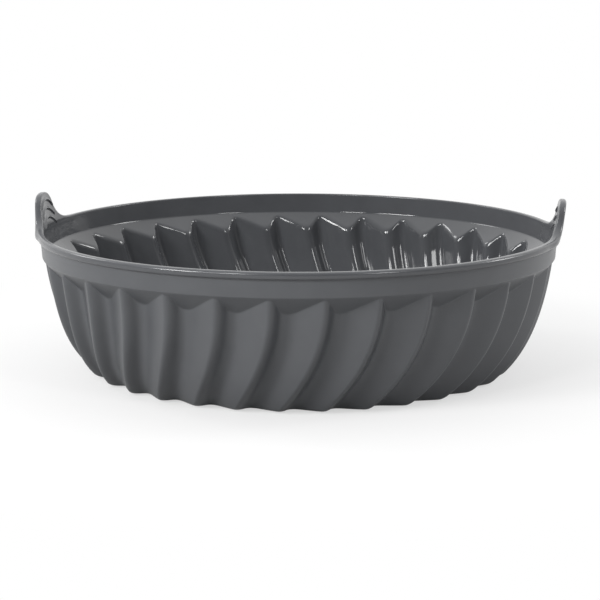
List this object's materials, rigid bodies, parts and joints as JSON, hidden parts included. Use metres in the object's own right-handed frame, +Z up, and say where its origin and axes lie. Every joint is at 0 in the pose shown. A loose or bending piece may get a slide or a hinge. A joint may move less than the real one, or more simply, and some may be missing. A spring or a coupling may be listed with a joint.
{
  "type": "silicone air fryer pan",
  "caption": "Round soft silicone pan with swirled fluted walls, a sloping shoulder, an upright rim band with a beaded lip, and flexible grip tabs; lines an air fryer basket.",
  "frame": {"origin": "centre of the flat underside, on the surface that the pan stands on", "axes": "+Z up along the bowl's axis, +X through the two handles"},
  "size_m": [0.2038, 0.2, 0.0659],
  "materials": {
    "silicone": "matte outside, glossy inside, dark grey"
  },
  "bodies": {
    "pan": {"floor_panel": "silicone", "fluted_wall": "silicone", "shoulder": "silicone", "rim_band": "silicone", "rim_bead": "silicone", "right_handle_root": "silicone", "left_handle_root": "silicone"},
    "right_handle": {"right_handle_tab": "silicone"},
    "left_handle": {"left_handle_tab": "silicone"}
  },
  "joints": [
    {"name": "right_handle_flex", "type": "hinge", "parent": "pan", "child": "right_handle", "pos_m": [0.0996, 0, 0.055], "axis": [0, 1, 0], "range_deg": [-60, 60], "stiffness_Nm_per_rad": 0.025, "deforming": ["right_handle_root"]},
    {"name": "left_handle_flex", "type": "hinge", "parent": "pan", "child": "left_handle", "pos_m": [-0.0996, 0, 0.055], "axis": [0, -1, 0], "range_deg": [-60, 60], "stiffness_Nm_per_rad": 0.025, "deforming": ["left_handle_root"]}
  ]
}
